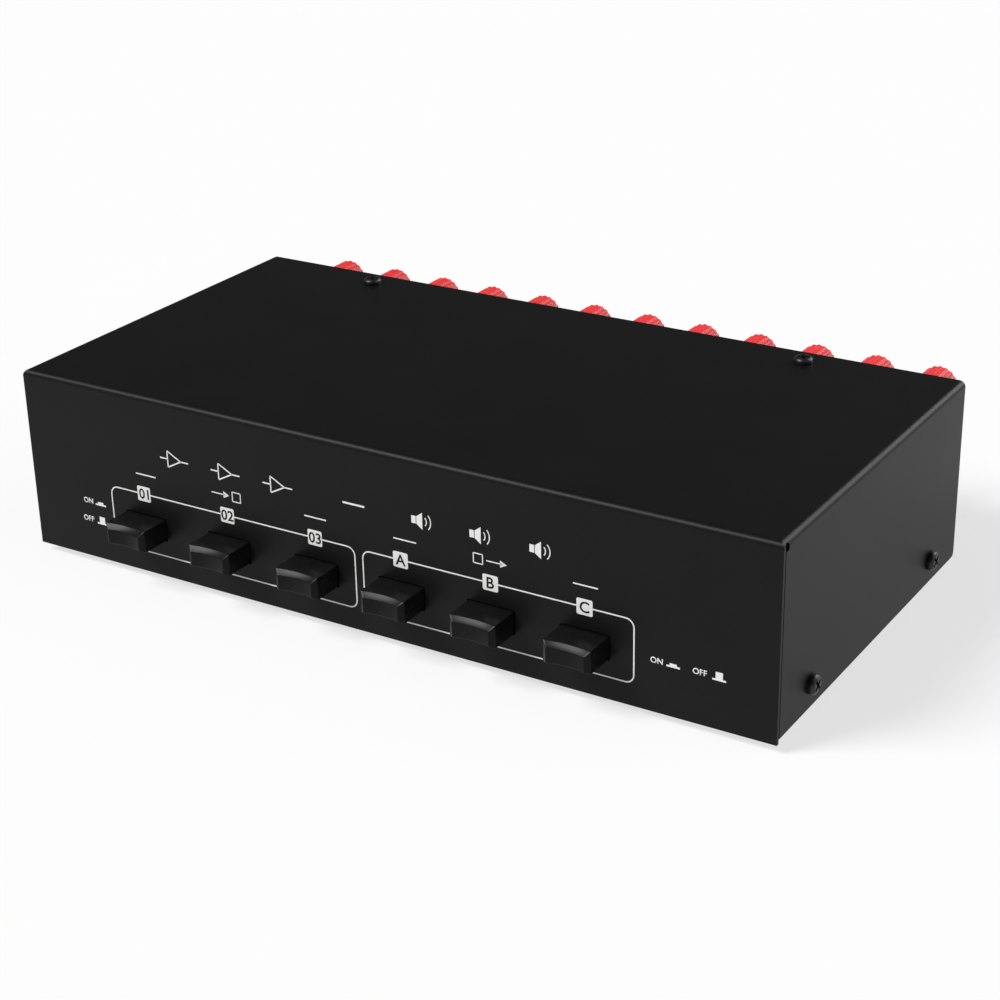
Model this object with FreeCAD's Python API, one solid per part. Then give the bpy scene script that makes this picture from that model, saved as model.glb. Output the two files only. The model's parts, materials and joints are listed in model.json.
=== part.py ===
import FreeCAD, Part
import math
import os

from FreeCAD import Vector

# Speaker selector switch: a folded steel case with six push buttons in front
# and two rows of twelve binding posts behind.
# Millimetres. X to the right, Y to the rear, Z up.
# The origin is the middle of the whole object on the surface it stands on.

# Case
case_width = 240.0
case_depth = 120.0
case_height = 55.0
sheet = 1.0
bend_inside = 0.8
fold_gap = 0.2
corner_seam = 0.4
relief_radius = 1.1
side_flap_rise = 1.2
flap_corner_radius = 1.5
rear_recess = 0.4

# Chassis folds
front_lip_height = 6.0
side_flange_height = 15.0
top_flange_depth = 15.0
bend_notch = 1.5

# Cover screws
screw_radius = 1.5
screw_hole_gap = 0.2
thread_gap = 0.05
screw_length = 5.0
screw_head_radius = 2.8
screw_head_height = 1.9
top_screw_spacing = 149.0
top_screw_inset = 8.0
side_screw_height = 7.8
side_screw_front_inset = 20.0
side_screw_rear_inset = 19.0

# Feet
foot_height = 2.5
foot_radius = 6.0
foot_taper = 0.7
foot_inset = 16.0

# Push buttons, measured from the left edge of the front panel
buttons_in_group = 3
amplifier_button_start = 42.0
amplifier_button_spacing = 30.0
speaker_button_start = 130.0
speaker_button_spacing = 28.0
button_width = 14.0
button_height = 6.4
button_centre_height = 14.8
button_reach = 10.4
button_tail = 5.0
button_travel = 4.5
button_bevel_depth = 1.2
button_bevel_side = 1.4
button_bevel_top = 1.5
button_bevel_bottom = 0.7
button_dish = 0.7
button_window_gap = 0.4
button_window_corner = 0.6

# Push switches
plunger_size = 3.4
plunger_socket_depth = 4.0
plunger_fit = 0.05
plunger_tail = 2.0
spring_wire = 0.5
spring_fit = 0.1
spring_solid_length = 4.5
switch_width = 17.0
switch_height = 12.0
switch_depth = 24.0
switch_chamfer = 1.0
pin_width = 0.8
pin_thickness = 0.4
pin_stub = 1.4
pin_pitch = 5.0
pins_in_row = 3
pin_row_spacing = 10.0

# Switch board
board_thickness = 1.6
board_front_margin = 3.0
board_rear_margin = 15.0
board_side_margin = 12.0
pin_hole_gap = 0.1
standoff_radius = 3.2
standoff_bore_gap = 0.05
board_screw_inset = 5.0
board_screw_length = 5.0
board_hole_gap = 0.1

# Binding posts
post_count = 12
post_end_margin = 15.5
post_row_spacing = 19.0
upper_row_drop = 11.2
terminal_reach = 22.5
cap_radius = 5.6
cap_flutes = 12
flute_depth = 0.7
flute_share = 0.6
cap_top_wall = 3.0
cap_seat_gap = 0.1
stud_radius = 2.0
stud_fit = 0.05
collar_radius = 5.6
collar_thickness = 5.0
neck_side = 6.4
neck_fit = 0.05
stud_tip_gap = 0.5
blade_width = 2.6
blade_thickness = 1.0
blade_fit = 0.05
blade_stub = 1.4

# Terminal board
terminal_board_thickness = 1.6
terminal_board_margin = 7.0

# Flat cables between the two boards
cable_width = 7.2
cable_thickness = 1.8
cable_bend_radius = 16.0
cable_clearance = 1.0

# Places worked out from the sizes above
overall_depth = button_reach + case_depth + terminal_reach
front_y = button_reach - overall_depth / 2
rear_y = front_y + case_depth
half_width = case_width / 2
base_z = foot_height
top_z = base_z + case_height
bend_outside = bend_inside + sheet
inner_half_width = half_width - sheet
inner_front_y = front_y + sheet
inner_top_z = top_z - sheet
chassis_half_width = inner_half_width - fold_gap
chassis_front_y = inner_front_y + fold_gap
chassis_rear_y = rear_y - rear_recess
chassis_top_z = inner_top_z - fold_gap
panel_inner_y = chassis_rear_y - sheet
floor_top_z = base_z + sheet

button_places = [
    start + spacing * number - half_width
    for start, spacing in (
        (amplifier_button_start, amplifier_button_spacing),
        (speaker_button_start, speaker_button_spacing),
    )
    for number in range(buttons_in_group)
]
button_z = base_z + button_centre_height
button_front_y = front_y - button_reach
button_shoulder_y = button_front_y + button_bevel_depth
button_rear_y = inner_front_y + button_tail
spring_length = spring_solid_length + button_travel
switch_front_y = button_rear_y + spring_length
switch_rear_y = switch_front_y + switch_depth
plunger_rear_y = switch_rear_y + plunger_tail
cable_y = plunger_rear_y + button_travel + cable_clearance + cable_thickness / 2
board_top_z = button_z - switch_height / 2
switch_top_z = board_top_z + switch_height
board_bottom_z = board_top_z - board_thickness
board_front_y = switch_front_y - board_front_margin
board_rear_y = switch_rear_y + board_rear_margin
board_left_x = button_places[0] - switch_width / 2 - board_side_margin
board_right_x = button_places[-1] + switch_width / 2 + board_side_margin

post_pitch = (case_width - 2 * post_end_margin) / (post_count - 1)
upper_row_z = top_z - upper_row_drop
lower_row_z = upper_row_z - post_row_spacing
terminal_board_front_y = panel_inner_y - neck_fit - terminal_board_thickness
terminal_board_rear_y = terminal_board_front_y + terminal_board_thickness
blade_front_y = terminal_board_front_y - blade_stub
collar_rear_y = chassis_rear_y + collar_thickness
cap_front_y = collar_rear_y + cap_seat_gap
cap_rear_y = rear_y + terminal_reach
stud_rear_y = cap_rear_y - cap_top_wall - stud_tip_gap


ALONG_X = Vector(1, 0, 0)
ALONG_Y = Vector(0, 1, 0)
ALONG_Z = Vector(0, 0, 1)


def block(x_low, x_high, y_low, y_high, z_low, z_high):
    """A box between two corners."""
    size = (x_high - x_low, y_high - y_low, z_high - z_low)
    return Part.makeBox(*size, Vector(x_low, y_low, z_low))


def rod_along_x(x_low, x_high, y, z, radius):
    """A round bar along X."""
    return Part.makeCylinder(radius, x_high - x_low, Vector(x_low, y, z), ALONG_X)


def rod_along_y(y_low, y_high, x, z, radius):
    """A round bar along Y."""
    return Part.makeCylinder(radius, y_high - y_low, Vector(x, y_low, z), ALONG_Y)


def rod_along_z(z_low, z_high, x, y, radius):
    """A round bar along Z."""
    return Part.makeCylinder(radius, z_high - z_low, Vector(x, y, z_low))


def near(value, target):
    """True where two places are the same to a hundredth of a millimetre."""
    return abs(value - target) < 0.01


def edges_along(shape, axis, test):
    """The straight edges parallel to one axis whose ends pass the test."""
    found = []
    for edge in shape.Edges:
        ends = [vertex.Point for vertex in edge.Vertexes]
        if len(ends) != 2:
            continue
        run = ends[1] - ends[0]
        if near(run.cross(axis).Length, 0) and all(test(point) for point in ends):
            found.append(edge)
    return found


def save(name, shapes):
    """Write one node, a single solid or a group of like solids."""
    shape = shapes[0] if len(shapes) == 1 else Part.makeCompound(shapes)
    shape.exportStep(os.path.join("parts", name + ".step"))


def post_places():
    """The X of each pair of binding posts, from left to right."""
    return [post_end_margin - half_width + post_pitch * number for number in range(post_count)]


def side_screw_places():
    """The Y of the screws in each side of the case."""
    return (front_y + side_screw_front_inset, rear_y - side_screw_rear_inset)


def top_screw_places():
    """The X of the two screws along the rear edge of the top."""
    return (-top_screw_spacing / 2, top_screw_spacing / 2)


def board_screw_places():
    """The corners and the middle of the switch board, where it is screwed down."""
    left = board_left_x + board_screw_inset
    right = board_right_x - board_screw_inset
    front = board_front_y + board_screw_inset
    rear = board_rear_y - board_screw_inset
    between = (button_places[buttons_in_group - 1] + button_places[buttons_in_group]) / 2
    return [(left, front), (right, front), (left, rear), (right, rear), (between, rear)]


def folded_cover():
    """The top with its front and side flaps, one sheet, open below and behind."""
    outer = block(-half_width, half_width, front_y, rear_y, base_z, top_z)
    folds = edges_along(outer, ALONG_X, lambda p: near(p.z, top_z) and near(p.y, front_y))
    folds += edges_along(outer, ALONG_Y, lambda p: near(p.z, top_z))
    outer = outer.makeFillet(bend_outside, folds)

    inner = block(
        -inner_half_width, inner_half_width, inner_front_y, rear_y + sheet, base_z - sheet, inner_top_z
    )
    folds = edges_along(inner, ALONG_X, lambda p: near(p.z, inner_top_z) and near(p.y, inner_front_y))
    folds += edges_along(inner, ALONG_Y, lambda p: near(p.z, inner_top_z))
    cover = outer.cut(inner.makeFillet(bend_inside, folds))

    seam_rear_y = inner_front_y + corner_seam
    flap_bottom_z = base_z + side_flap_rise
    cover = cover.cut(
        block(-half_width, half_width, inner_front_y, rear_y, base_z - sheet, flap_bottom_z)
    )
    corners = edges_along(cover, ALONG_X, lambda p: near(p.z, flap_bottom_z) and near(p.y, rear_y))
    cover = cover.makeFillet(flap_corner_radius, corners)

    for side in (-1, 1):
        wall = sorted((side * (inner_half_width - bend_inside), side * (half_width + sheet)))
        seam_top_z = top_z - bend_outside
        seam = block(*wall, inner_front_y, seam_rear_y, base_z - sheet, seam_top_z)
        relief = rod_along_x(*wall, inner_front_y + relief_radius, seam_top_z, relief_radius)
        cover = cover.cut(seam).cut(relief)
    return cover


def button_window(x):
    """The round-cornered window in the front flap for one button."""
    half_w = button_width / 2 + button_window_gap
    half_h = button_height / 2 + button_window_gap
    window = block(
        x - half_w, x + half_w, front_y - sheet, inner_front_y + sheet, button_z - half_h, button_z + half_h
    )
    return window.makeFillet(button_window_corner, edges_along(window, ALONG_Y, lambda p: True))


def top_cover():
    """The cover with its button windows and screw holes."""
    cover = folded_cover()
    for x in button_places:
        cover = cover.cut(button_window(x))
    hole_radius = screw_radius + screw_hole_gap
    for x in top_screw_places():
        hole = rod_along_z(inner_top_z - sheet, top_z + sheet, x, rear_y - top_screw_inset, hole_radius)
        cover = cover.cut(hole)
    for y in side_screw_places():
        hole = rod_along_x(-half_width - sheet, half_width + sheet, y, base_z + side_screw_height, hole_radius)
        cover = cover.cut(hole)
    return cover


def chassis_long_fold():
    """Front lip, floor, rear panel and top flange, bent in one run and seen from the side."""
    low, high = base_z, chassis_top_z
    front, rear = chassis_front_y, chassis_rear_y
    corners = (
        (front, low + front_lip_height),
        (front, low),
        (rear, low),
        (rear, high),
        (rear - top_flange_depth, high),
        (rear - top_flange_depth, high - sheet),
        (rear - sheet, high - sheet),
        (rear - sheet, low + sheet),
        (front + sheet, low + sheet),
        (front + sheet, low + front_lip_height),
    )
    points = [Vector(-chassis_half_width, y, z) for y, z in corners]
    outline = Part.makePolygon(points + [points[0]])
    fold = Part.Face(outline).extrude(Vector(2 * chassis_half_width, 0, 0))
    outside = ((front, low), (rear, low), (rear, high))
    inside = ((front + sheet, low + sheet), (rear - sheet, low + sheet), (rear - sheet, high - sheet))
    for places, radius in ((outside, bend_outside), (inside, bend_inside)):
        bends = edges_along(
            fold, ALONG_X, lambda p: any(near(p.y, y) and near(p.z, z) for y, z in places)
        )
        fold = fold.makeFillet(radius, bends)
    return fold


def chassis_side_flange(side):
    """One side flange with its bend and a strip of the floor, seen from the front."""
    floor_x = side * (chassis_half_width - bend_outside - bend_notch)
    wall_x = side * chassis_half_width
    inner_x = side * (chassis_half_width - sheet)
    front = chassis_front_y + bend_outside + bend_notch
    rear = chassis_rear_y - bend_outside - bend_notch
    top = base_z + side_flange_height
    corners = (
        (floor_x, base_z),
        (wall_x, base_z),
        (wall_x, top),
        (inner_x, top),
        (inner_x, floor_top_z),
        (floor_x, floor_top_z),
    )
    points = [Vector(x, front, z) for x, z in corners]
    outline = Part.makePolygon(points + [points[0]])
    flange = Part.Face(outline).extrude(Vector(0, rear - front, 0))
    for x, z, radius in ((wall_x, base_z, bend_outside), (inner_x, floor_top_z, bend_inside)):
        bend = edges_along(flange, ALONG_Y, lambda p: near(p.x, x) and near(p.z, z))
        flange = flange.makeFillet(radius, bend)
    return flange


def base_chassis():
    """The lower half of the case: floor, rear panel and all its flanges."""
    chassis = chassis_long_fold()
    strip_rear_y = chassis_rear_y - bend_outside
    strip_front_y = chassis_front_y + bend_outside
    for side in (-1, 1):
        strip = sorted((side * (chassis_half_width - bend_outside), side * half_width))
        chassis = chassis.cut(block(*strip, strip_front_y, strip_rear_y, base_z - sheet, floor_top_z + sheet))
        chassis = chassis.fuse(chassis_side_flange(side))
    chassis = chassis.removeSplitter()

    half_hole = neck_side / 2 + neck_fit
    for x in post_places():
        for z in (upper_row_z, lower_row_z):
            chassis = chassis.cut(
                block(x - half_hole, x + half_hole, panel_inner_y - sheet, rear_y, z - half_hole, z + half_hole)
            )
    hole_radius = screw_radius + thread_gap
    for x in top_screw_places():
        hole = rod_along_z(chassis_top_z - 2 * sheet, top_z, x, rear_y - top_screw_inset, hole_radius)
        chassis = chassis.cut(hole)
    for y in side_screw_places():
        hole = rod_along_x(-half_width, half_width, y, base_z + side_screw_height, hole_radius)
        chassis = chassis.cut(hole)
    return chassis


def pan_head_screw(length):
    """A pan-head screw along Z, its head standing on Z = 0."""
    head = rod_along_z(0, screw_head_height, 0, 0, screw_head_radius)
    return head.fuse(rod_along_z(-length, 0, 0, 0, screw_radius))


def placed(shape, x, y, z, turn_axis=ALONG_Z, turn=0.0):
    """A turned and moved copy."""
    copy = shape.copy()
    copy.rotate(Vector(0, 0, 0), turn_axis, turn)
    copy.translate(Vector(x, y, z))
    return copy


def cover_screws():
    """Two screws in the top and two in each side."""
    screw = pan_head_screw(screw_length)
    screws = [placed(screw, x, rear_y - top_screw_inset, top_z) for x in top_screw_places()]
    for side in (-1, 1):
        for y in side_screw_places():
            screws.append(placed(screw, side * half_width, y, base_z + side_screw_height, ALONG_Y, side * 90))
    return screws


def rubber_feet():
    """Four tapered feet stuck under the corners of the floor."""
    feet = []
    for side in (-1, 1):
        for y in (front_y + foot_inset, rear_y - foot_inset):
            centre = Vector(side * (half_width - foot_inset), y, 0)
            feet.append(Part.makeCone(foot_radius - foot_taper, foot_radius, foot_height, centre))
    return feet


def button_cap(x):
    """A push button with four bevels round a dished front, and a socket for its plunger."""
    left, right = x - button_width / 2, x + button_width / 2
    low, high = button_z - button_height / 2, button_z + button_height / 2
    body = block(left, right, button_shoulder_y, button_rear_y, low, high)

    def ring(y, inset_side, inset_low, inset_high):
        corners = (
            (left + inset_side, low + inset_low),
            (right - inset_side, low + inset_low),
            (right - inset_side, high - inset_high),
            (left + inset_side, high - inset_high),
        )
        points = [Vector(px, y, pz) for px, pz in corners]
        return Part.makePolygon(points + [points[0]])

    shoulder = ring(button_shoulder_y, 0, 0, 0)
    face = ring(button_front_y, button_bevel_side, button_bevel_bottom, button_bevel_top)
    body = body.fuse(Part.makeLoft([shoulder, face], True, True)).removeSplitter()

    face_half = button_width / 2 - button_bevel_side
    dish_radius = (face_half ** 2 + button_dish ** 2) / (2 * button_dish)
    dish_y = button_front_y + button_dish - dish_radius
    dish = rod_along_z(low - button_dish, high + button_dish, x, dish_y, dish_radius)
    body = body.cut(dish)

    half_socket = plunger_size / 2 + plunger_fit
    socket_y = button_rear_y - plunger_socket_depth
    return body.cut(
        block(
            x - half_socket, x + half_socket, socket_y, button_rear_y, button_z - half_socket, button_z + half_socket
        )
    )


def plunger(x):
    """The square rod that a button pushes through its switch."""
    half = plunger_size / 2
    front = button_rear_y - plunger_socket_depth
    return block(x - half, x + half, front, plunger_rear_y, button_z - half, button_z + half)


def return_spring(x):
    """The space of the coil spring round one plunger, as a sleeve."""
    bore = plunger_size / 2 * math.sqrt(2) + spring_fit
    sleeve = rod_along_y(button_rear_y, switch_front_y, x, button_z, bore + spring_wire)
    return sleeve.cut(rod_along_y(button_rear_y, switch_front_y, x, button_z, bore))


def switch_housing(x):
    """A push-switch body with the square channel of its plunger."""
    half = switch_width / 2
    body = block(x - half, x + half, switch_front_y, switch_rear_y, board_top_z, switch_top_z)
    top_edges = edges_along(body, ALONG_Y, lambda p: near(p.z, switch_top_z))
    body = body.makeChamfer(switch_chamfer, top_edges)
    channel = plunger_size / 2 + plunger_fit
    return body.cut(
        block(x - channel, x + channel, switch_front_y, switch_rear_y, button_z - channel, button_z + channel)
    )


def pin_places(x):
    """Where the pins of one switch go through the board."""
    middle_y = (switch_front_y + switch_rear_y) / 2
    places = []
    for row in (-1, 1):
        for number in range(pins_in_row):
            y = middle_y + (number - (pins_in_row - 1) / 2) * pin_pitch
            places.append((x + row * pin_row_spacing / 2, y))
    return places


def switch_pins(x):
    """The flat contact pins below one switch, through the board."""
    half_w, half_t = pin_width / 2, pin_thickness / 2
    low = board_bottom_z - pin_stub
    return [block(px - half_t, px + half_t, py - half_w, py + half_w, low, board_top_z)
            for px, py in pin_places(x)]


def switch_board():
    """The printed board that carries the six switches."""
    board = block(board_left_x, board_right_x, board_front_y, board_rear_y, board_bottom_z, board_top_z)
    half_w, half_t = pin_width / 2 + pin_hole_gap, pin_thickness / 2 + pin_hole_gap
    for x in button_places:
        for px, py in pin_places(x):
            slot = block(px - half_t, px + half_t, py - half_w, py + half_w, board_bottom_z, board_top_z)
            board = board.cut(slot)
    for x, y in board_screw_places():
        hole = rod_along_z(board_bottom_z, board_top_z, x, y, screw_radius + board_hole_gap)
        board = board.cut(hole)
    return board


def hexagon_prism(across_flats, height):
    """A six-sided bar along Z, standing on Z = 0."""
    reach = across_flats / math.sqrt(3)
    points = [Vector(reach * math.cos(math.radians(60 * side)), reach * math.sin(math.radians(60 * side)), 0)
              for side in range(6)]
    return Part.Face(Part.makePolygon(points + [points[0]])).extrude(Vector(0, 0, height))


def board_standoffs():
    """Threaded hexagonal pillars welded to the floor under the switch board."""
    height = board_bottom_z - floor_top_z
    pillar = hexagon_prism(2 * standoff_radius, height)
    pillar = pillar.cut(rod_along_z(0, height, 0, 0, screw_radius + standoff_bore_gap))
    return [placed(pillar, x, y, floor_top_z) for x, y in board_screw_places()]


def board_screws():
    """The screws that hold the switch board to its pillars."""
    screw = pan_head_screw(board_screw_length)
    return [placed(screw, x, y, board_top_z) for x, y in board_screw_places()]


def fluted_outline(y):
    """The outline of a cap at one place along its axis: flat-bottomed flutes between lands."""
    step = 2 * math.pi / cap_flutes
    root_radius = cap_radius - flute_depth
    half_land = step * (1 - flute_share) / 2
    half_root = step * flute_share / 4
    points = []
    for number in range(cap_flutes):
        land = number * step
        valley = land + step / 2
        for radius, angle in (
            (cap_radius, land - half_land),
            (cap_radius, land + half_land),
            (root_radius, valley - half_root),
            (root_radius, valley + half_root),
        ):
            points.append(Vector(radius * math.cos(angle), y, radius * math.sin(angle)))
    return Part.makePolygon(points + [points[0]])


def terminal_cap():
    """A closed fluted cap along Y with its threaded bore, at X = Z = 0."""
    body = Part.Face(fluted_outline(cap_front_y)).extrude(Vector(0, cap_rear_y - cap_front_y, 0))
    return body.cut(rod_along_y(cap_front_y, cap_rear_y - cap_top_wall, 0, 0, stud_radius + stud_fit))


def blade_slot(y_low, y_high):
    """The slot that a post's blade goes through, at X = Z = 0."""
    half_w, half_t = blade_width / 2 + blade_fit, blade_thickness / 2 + blade_fit
    return block(-half_w, half_w, y_low, y_high, -half_t, half_t)


def terminal_collar():
    """The fixed insulating collar of a post, with its square neck in the panel."""
    collar = rod_along_y(chassis_rear_y, collar_rear_y, 0, 0, collar_radius)
    half = neck_side / 2
    neck = block(-half, half, panel_inner_y, chassis_rear_y, -half, half)
    return collar.fuse(neck).cut(blade_slot(panel_inner_y, collar_rear_y))


def terminal_stud():
    """The metal of a post: a threaded stud whose flat blade goes through to the terminal board."""
    half_w, half_t = blade_width / 2, blade_thickness / 2
    blade = block(-half_w, half_w, blade_front_y, collar_rear_y, -half_t, half_t)
    return blade.fuse(rod_along_y(collar_rear_y, stud_rear_y, 0, 0, stud_radius))


def terminal_board():
    """The insulating board inside the rear panel that joins the posts to the cables."""
    places = post_places()
    board = block(
        places[0] - terminal_board_margin, places[-1] + terminal_board_margin,
        terminal_board_front_y, terminal_board_rear_y,
        lower_row_z - terminal_board_margin, upper_row_z + terminal_board_margin,
    )
    slot = blade_slot(terminal_board_front_y, terminal_board_rear_y)
    for x in places:
        for z in (upper_row_z, lower_row_z):
            board = board.cut(placed(slot, x, 0, z))
    return board


def link_cable(x):
    """A flat four-core cable from the terminal board down to the switch board, in one wide bend."""
    high_z = (upper_row_z + lower_row_z) / 2
    bend_start = Vector(x, cable_y + cable_bend_radius, high_z)
    bend_end = Vector(x, cable_y, high_z - cable_bend_radius)
    middle_share = cable_bend_radius * (1 - math.sqrt(0.5))
    bend_middle = Vector(x, cable_y + middle_share, high_z - middle_share)
    path = Part.Wire([
        Part.LineSegment(Vector(x, terminal_board_front_y, high_z), bend_start).toShape(),
        Part.Arc(bend_start, bend_middle, bend_end).toShape(),
        Part.LineSegment(bend_end, Vector(x, cable_y, board_top_z)).toShape(),
    ])
    half_w, half_t = cable_width / 2, cable_thickness / 2
    corners = ((-half_w, -half_t), (half_w, -half_t), (half_w, half_t), (-half_w, half_t))
    points = [Vector(x + across, terminal_board_front_y, high_z + up) for across, up in corners]
    section = Part.makePolygon(points + [points[0]])
    return path.makePipeShell([section], True, False)


def build():
    """Make every piece and write it."""
    os.makedirs("parts", exist_ok=True)
    save("top_cover", [top_cover()])
    save("base_chassis", [base_chassis()])
    save("cover_screws", cover_screws())
    save("rubber_feet", rubber_feet())
    save("switch_board", [switch_board()])
    save("switch_housings", [switch_housing(x) for x in button_places])
    save("switch_pins", [pin for x in button_places for pin in switch_pins(x)])
    save("board_standoffs", board_standoffs())
    save("board_screws", board_screws())
    save("link_cables", [link_cable(x) for x in button_places])
    save("terminal_board", [terminal_board()])
    for number, x in enumerate(button_places, 1):
        save(f"button_cap_{number}", [button_cap(x)])
        save(f"plunger_{number}", [plunger(x)])
        save(f"return_spring_{number}", [return_spring(x)])

    cap, collar, stud = terminal_cap(), terminal_collar(), terminal_stud()
    rows = (("red", upper_row_z), ("black", lower_row_z))
    for colour, z in rows:
        save(f"terminal_collars_{colour}", [placed(collar, x, 0, z) for x in post_places()])
        for number, x in enumerate(post_places(), 1):
            save(f"terminal_cap_{colour}_{number:02d}", [placed(cap, x, 0, z)])
    save("terminal_studs", [placed(stud, x, 0, z) for colour, z in rows for x in post_places()])


build()
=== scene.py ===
import json
import math

import bmesh
import bpy
from bpy.props import FloatProperty, FloatVectorProperty, IntProperty, PointerProperty
from bpy.types import Operator, Panel, PropertyGroup
from mathutils import Matrix, Vector


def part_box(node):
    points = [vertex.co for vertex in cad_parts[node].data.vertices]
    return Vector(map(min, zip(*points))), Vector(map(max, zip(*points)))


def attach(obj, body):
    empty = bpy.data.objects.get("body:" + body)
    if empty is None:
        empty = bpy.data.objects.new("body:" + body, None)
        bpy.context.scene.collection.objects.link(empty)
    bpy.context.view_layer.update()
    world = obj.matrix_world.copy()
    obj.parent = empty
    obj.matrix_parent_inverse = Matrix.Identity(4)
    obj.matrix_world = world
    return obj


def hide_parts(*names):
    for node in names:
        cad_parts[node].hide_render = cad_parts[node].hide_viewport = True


bl_info = {
    "name": "Speaker selector switch",
    "version": (1, 0, 0),
    "blender": (4, 5, 0),
    "location": "View3D > Sidebar > Selector",
    "description": "Dresses a push-button speaker selector switch and sets it on a pale stage",
    "category": "Object",
}

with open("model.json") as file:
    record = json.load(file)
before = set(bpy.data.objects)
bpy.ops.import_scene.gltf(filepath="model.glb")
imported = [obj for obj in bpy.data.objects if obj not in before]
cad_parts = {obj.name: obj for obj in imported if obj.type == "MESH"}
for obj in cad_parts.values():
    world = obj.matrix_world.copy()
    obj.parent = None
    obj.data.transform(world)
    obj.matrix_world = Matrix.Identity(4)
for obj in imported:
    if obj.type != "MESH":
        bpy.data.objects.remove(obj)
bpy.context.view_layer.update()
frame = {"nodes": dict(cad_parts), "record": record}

MM = 0.001
COVER_LOW, COVER_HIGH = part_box("top_cover")
BUTTONS = sorted(name for name in frame["nodes"] if name.startswith("button_cap_"))
POST_CAPS = sorted(name for name in frame["nodes"] if name.startswith("terminal_cap_"))


def linear(code):
    """The linear RGB of an sRGB hex colour."""
    parts = [int(code[place:place + 2], 16) / 255 for place in (1, 3, 5)]
    return tuple(part / 12.92 if part <= 0.04045 else ((part + 0.055) / 1.055) ** 2.4 for part in parts)


def length(name, description, millimetres):
    """A size property given in millimetres."""
    return FloatProperty(
        name=name, description=description, default=millimetres * MM, precision=5,
        subtype="DISTANCE", unit="LENGTH",
    )


def colour(name, description, code):
    """A colour property given as an sRGB hex value."""
    return FloatVectorProperty(
        name=name, description=description, default=linear(code), size=3,
        min=0.0, max=1.0, subtype="COLOR",
    )


class SelectorFinish(PropertyGroup):
    """Colours and grain of the finishes."""

    coat: colour("Powder coat", "Colour of the coated steel case", "#080809")
    coat_grain: length("Coat grain", "Width of the grain in the powder coat", 0.55)
    button: colour("Button", "Colour of the moulded buttons", "#070708")
    red: colour("Red cap", "Colour of the red binding-post caps", "#ff3034")
    black: colour("Black cap", "Colour of the black binding-post caps", "#121214")
    ink: colour("Print", "Colour of the printed marks", "#e4e4e2")
    screw: colour("Screw", "Colour of the blackened case screws", "#19191b")
    foot: colour("Foot", "Colour of the rubber feet", "#1a1a1a")


class SelectorPrint(PropertyGroup):
    """Sizes of the printed marks, and their places from the front's left and lower edges."""

    thickness: length("Ink thickness", "How far the print stands off the panel", 0.04)
    line: length("Line width", "Width of the frames and rules", 0.38)
    frame_low: length("Frame foot", "Height of the frames' lower line", 6.5)
    frame_high: length("Frame head", "Height of the frames' upper line", 24.7)
    frame_corner: length("Frame corner", "Corner radius of the frames", 2.4)
    left_start: length("Left frame start", "Left side of the left frame", 29.75)
    left_end: length("Left frame end", "Right side of the left frame", 115.1)
    right_start: length("Right frame start", "Left side of the right frame", 117.7)
    right_end: length("Right frame end", "Right side of the right frame", 200.2)
    badge_width: length("Badge width", "Width of a badge", 4.7)
    badge_height: length("Badge height", "Height of a badge", 4.6)
    badge_corner: length("Badge corner", "Corner radius of a badge", 0.5)
    figure_height: length("Figure height", "Height of a badge's figure", 3.2)
    switch_word: length("Word height", "Height of the words beside the switch signs", 1.7)
    symbol_height: length("Symbol height", "Height of the row of symbols", 4.9)
    symbol_foot: length("Symbol foot", "Height of the row of symbols above the lower edge", 35.2)
    symbol_pitch: length("Symbol pitch", "Distance from one symbol to the next of its kind", 18)
    rule_height: length("Rule height", "Height of the short rules above the lower edge", 30.8)
    rule_length: length("Rule length", "Length of a short rule", 7.2)
    arrow_height: length("Arrow height", "Height of a signal arrow", 2.8)
    arrow_foot: length("Arrow foot", "Height of the signal arrows above the lower edge", 29.5)


class SelectorButtons(PropertyGroup):
    """Shape of a push button's front."""

    bevel_depth: length("Bevel depth", "How far the bevels run back", 1.2)
    bevel_side: length("Side bevel", "Width of the left and right bevels", 1.4)
    bevel_top: length("Top bevel", "Height of the upper bevel", 1.5)
    bevel_bottom: length("Bottom bevel", "Height of the lower bevel", 0.7)
    dish: length("Dish", "Depth of the hollow in the front", 0.7)
    edge: length("Edge round", "Roundness of the moulded edges", 0.12)


class SelectorPosts(PropertyGroup):
    """Shape of a binding-post cap and its collar."""

    ribs: IntProperty(name="Ribs", description="Number of grip ribs round a cap", default=18, min=6, max=40)
    rib_height: length("Rib height", "Height of a grip rib", 0.28)
    skirt: length("Skirt", "Length of the plain ring before the ribs", 1.2)
    rim: length("Rim round", "Roundness of the outer rim", 0.7)
    plug_radius: length("Plug radius", "Radius of the plug in the outer end", 2.3)
    plug_groove: length("Plug groove", "Width and depth of the groove round the plug", 0.3)
    collar_chamfer: length("Collar chamfer", "Chamfer of the fixed collar", 0.5)


class SelectorStage(PropertyGroup):
    """Camera and floor."""

    azimuth: FloatProperty(
        name="Azimuth", description="Camera azimuth from the front", default=math.radians(31.98),
        subtype="ANGLE",
    )
    elevation: FloatProperty(
        name="Elevation", description="Camera elevation", default=math.radians(24.33), subtype="ANGLE",
    )
    roll: FloatProperty(
        name="Roll", description="Camera roll", default=math.radians(-1.23), subtype="ANGLE",
    )
    lens: FloatProperty(
        name="Lens", description="Focal length on a 36 mm frame", default=77.65, unit="CAMERA",
    )
    floor: colour("Floor", "Colour of the floor", "#fbfbfb")
    paper_glow: FloatProperty(
        name="Paper glow", description="Share of plain white in the floor, which softens the shadow",
        default=0.7, min=0.0, max=1.0, subtype="FACTOR",
    )
    floor_radius: length("Floor radius", "Radius of the round floor", 6000)


# The camera's place, from a fit to the case's corners in the photograph, and the width of its
# sensor in millimetres.
CAMERA_PLACE = Vector((305.42, -488.74, 276.87)) * MM
SENSOR_WIDTH = 36


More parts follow.
